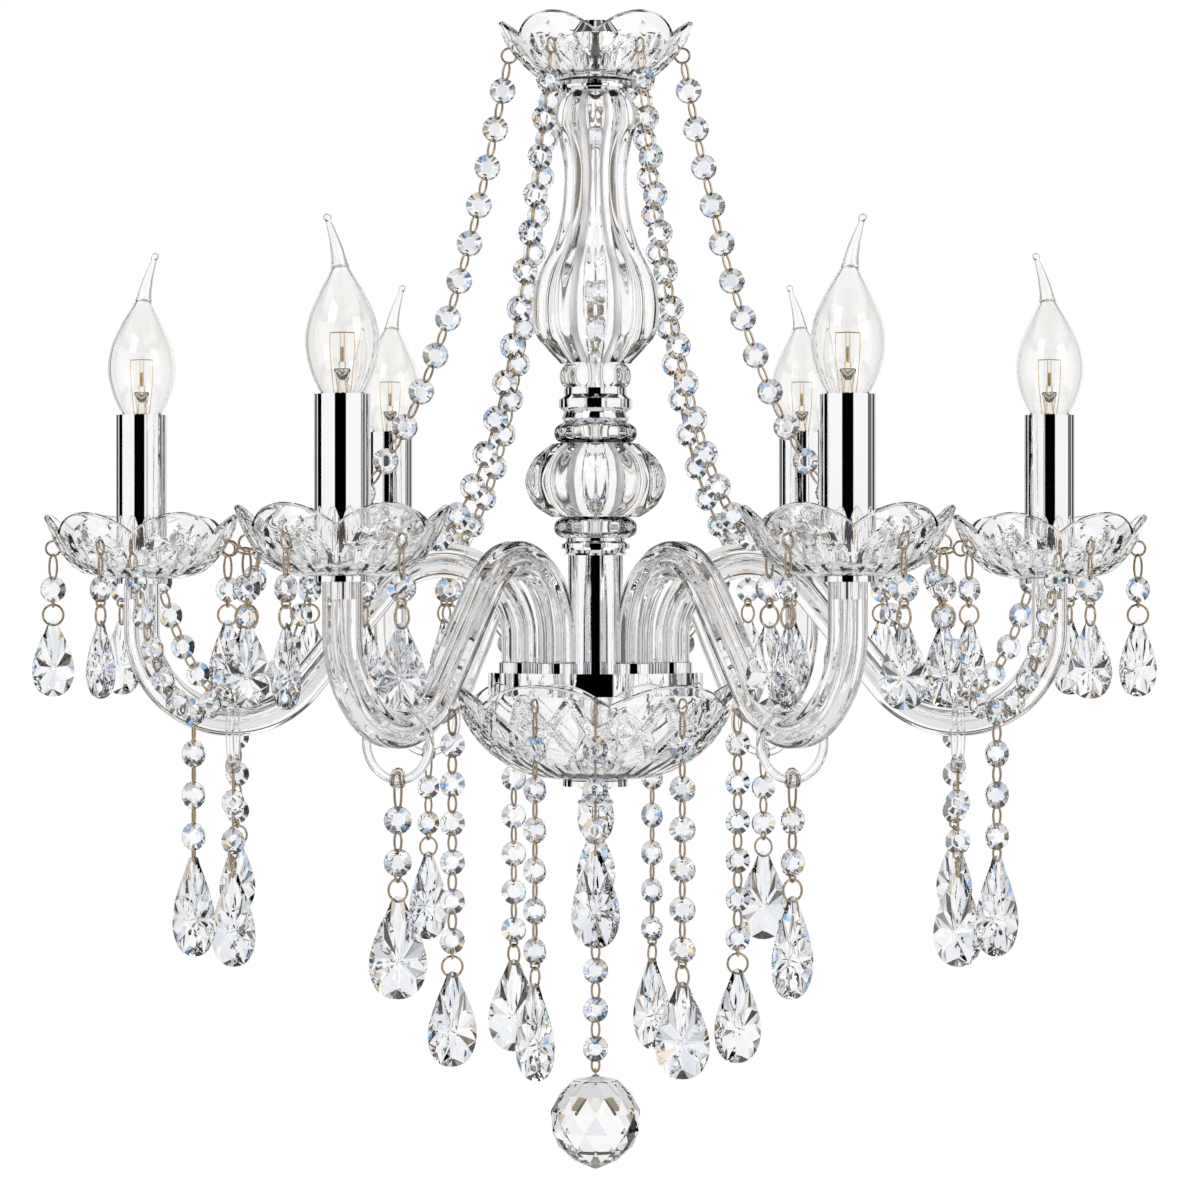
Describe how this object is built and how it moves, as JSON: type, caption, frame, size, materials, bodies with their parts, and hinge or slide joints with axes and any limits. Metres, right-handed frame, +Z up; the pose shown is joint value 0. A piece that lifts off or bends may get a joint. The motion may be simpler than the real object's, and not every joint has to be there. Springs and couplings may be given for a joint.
{
  "type": "candle chandelier",
  "caption": "Crystal and chrome candle chandelier with glass arms, candle bulbs and hung bead strings",
  "frame": {"origin": "the mouth of the threaded hanging hole, on the column's axis", "axes": "+Z up along the column, +X along arm 1, millimetres in the source"},
  "size_m": [0.5812, 0.5106, 0.5966],
  "materials": {
    "chrome": "polished",
    "steel": "zinc plated",
    "clear_glass": "clear, polished",
    "crystal": "clear, cut and polished",
    "bulb_glass": "clear, thin",
    "holder_plastic": "matte",
    "lead_sheath": "clear matte"
  },
  "bodies": {
    "bulb_1": {"bulb_1": "bulb_glass"},
    "ring_1": {"ring_1": "clear_glass"},
    "ring_drop_1": {"ring_drop_1": "crystal"},
    "bulb_2": {"bulb_2": "bulb_glass"},
    "ring_2": {"ring_2": "clear_glass"},
    "ring_drop_2": {"ring_drop_2": "crystal"},
    "bulb_3": {"bulb_3": "bulb_glass"},
    "ring_3": {"ring_3": "clear_glass"},
    "ring_drop_3": {"ring_drop_3": "crystal"},
    "bulb_4": {"bulb_4": "bulb_glass"},
    "ring_4": {"ring_4": "clear_glass"},
    "ring_drop_4": {"ring_drop_4": "crystal"},
    "bulb_5": {"bulb_5": "bulb_glass"},
    "ring_5": {"ring_5": "clear_glass"},
    "ring_drop_5": {"ring_drop_5": "crystal"},
    "bulb_6": {"bulb_6": "bulb_glass"},
    "ring_6": {"ring_6": "clear_glass"},
    "ring_drop_6": {"ring_drop_6": "crystal"},
    "ball_drop": {"ball_drop": "crystal"},
    "chandelier": {"top_cap": "chrome", "centre_rod": "steel", "top_dish": "clear_glass", "top_collar": "chrome", "vase": "clear_glass", "vase_foot_bead": "clear_glass", "upper_ring": "chrome", "ball_collars": "clear_glass", "lobed_ball": "clear_glass", "lower_ring": "chrome", "column_tube": "chrome", "hub": "chrome", "arm_nuts": "steel", "bowl": "clear_glass", "finial": "chrome", "wires": "lead_sheath", "arm_ferrules": "chrome", "cup_washers": "chrome", "lamp_holders": "holder_plastic", "garlands": "crystal", "swags": "crystal", "cup_pendants": "crystal", "bowl_pendants": "crystal", "arm_1": "clear_glass", "cup_1": "clear_glass", "candle_sleeve_1": "chrome", "arm_2": "clear_glass", "cup_2": "clear_glass", "candle_sleeve_2": "chrome", "arm_3": "clear_glass", "cup_3": "clear_glass", "candle_sleeve_3": "chrome", "arm_4": "clear_glass", "cup_4": "clear_glass", "candle_sleeve_4": "chrome", "arm_5": "clear_glass", "cup_5": "clear_glass", "candle_sleeve_5": "chrome", "arm_6": "clear_glass", "cup_6": "clear_glass", "candle_sleeve_6": "chrome"}
  },
  "joints": [
    {"name": "bulb_1_turn", "type": "hinge", "parent": "chandelier", "child": "bulb_1", "pos_m": [0.236, 0, -0.2093], "axis": [0, 0, 1], "range_deg": [0, 360]},
    {"name": "ring_1_swing", "type": "hinge", "parent": "chandelier", "child": "ring_1", "pos_m": [0.18839, 0, -0.3625], "axis": [1, 0, 0], "range_deg": [-30, 30]},
    {"name": "ring_drop_1_swing", "type": "hinge", "parent": "ring_1", "child": "ring_drop_1", "pos_m": [0.18839, 0, -0.3865], "axis": [0, 1, 0], "range_deg": [-30, 30]},
    {"name": "bulb_2_turn", "type": "hinge", "parent": "chandelier", "child": "bulb_2", "pos_m": [0.118, 0.20438, -0.2093], "axis": [0, 0, 1], "range_deg": [0, 360]},
    {"name": "ring_2_swing", "type": "hinge", "parent": "chandelier", "child": "ring_2", "pos_m": [0.0942, 0.16315, -0.3625], "axis": [0.5, 0.866, 0], "range_deg": [-30, 30]},
    {"name": "ring_drop_2_swing", "type": "hinge", "parent": "ring_2", "child": "ring_drop_2", "pos_m": [0.0942, 0.16315, -0.3865], "axis": [-0.866, 0.5, 0], "range_deg": [-30, 30]},
    {"name": "bulb_3_turn", "type": "hinge", "parent": "chandelier", "child": "bulb_3", "pos_m": [-0.118, 0.20438, -0.2093], "axis": [0, 0, 1], "range_deg": [0, 360]},
    {"name": "ring_3_swing", "type": "hinge", "parent": "chandelier", "child": "ring_3", "pos_m": [-0.0942, 0.16315, -0.3625], "axis": [-0.5, 0.866, 0], "range_deg": [-30, 30]},
    {"name": "ring_drop_3_swing", "type": "hinge", "parent": "ring_3", "child": "ring_drop_3", "pos_m": [-0.0942, 0.16315, -0.3865], "axis": [-0.866, -0.5, 0], "range_deg": [-30, 30]},
    {"name": "bulb_4_turn", "type": "hinge", "parent": "chandelier", "child": "bulb_4", "pos_m": [-0.236, 0, -0.2093], "axis": [0, 0, 1], "range_deg": [0, 360]},
    {"name": "ring_4_swing", "type": "hinge", "parent": "chandelier", "child": "ring_4", "pos_m": [-0.18839, 0, -0.3625], "axis": [-1, 0, 0], "range_deg": [-30, 30]},
    {"name": "ring_drop_4_swing", "type": "hinge", "parent": "ring_4", "child": "ring_drop_4", "pos_m": [-0.18839, 0, -0.3865], "axis": [0, -1, 0], "range_deg": [-30, 30]},
    {"name": "bulb_5_turn", "type": "hinge", "parent": "chandelier", "child": "bulb_5", "pos_m": [-0.118, -0.20438, -0.2093], "axis": [0, 0, 1], "range_deg": [0, 360]},
    {"name": "ring_5_swing", "type": "hinge", "parent": "chandelier", "child": "ring_5", "pos_m": [-0.0942, -0.16315, -0.3625], "axis": [-0.5, -0.866, 0], "range_deg": [-30, 30]},
    {"name": "ring_drop_5_swing", "type": "hinge", "parent": "ring_5", "child": "ring_drop_5", "pos_m": [-0.0942, -0.16315, -0.3865], "axis": [0.866, -0.5, 0], "range_deg": [-30, 30]},
    {"name": "bulb_6_turn", "type": "hinge", "parent": "chandelier", "child": "bulb_6", "pos_m": [0.118, -0.20438, -0.2093], "axis": [0, 0, 1], "range_deg": [0, 360]},
    {"name": "ring_6_swing", "type": "hinge", "parent": "chandelier", "child": "ring_6", "pos_m": [0.0942, -0.16315, -0.3625], "axis": [0.5, -0.866, 0], "range_deg": [-30, 30]},
    {"name": "ring_drop_6_swing", "type": "hinge", "parent": "ring_6", "child": "ring_drop_6", "pos_m": [0.0942, -0.16315, -0.3865], "axis": [0.866, 0.5, 0], "range_deg": [-30, 30]},
    {"name": "ball_drop_swing", "type": "hinge", "parent": "chandelier", "child": "ball_drop", "pos_m": [0, 0, -0.41315], "axis": [1, 0, 0], "range_deg": [-20, 20]}
  ]
}
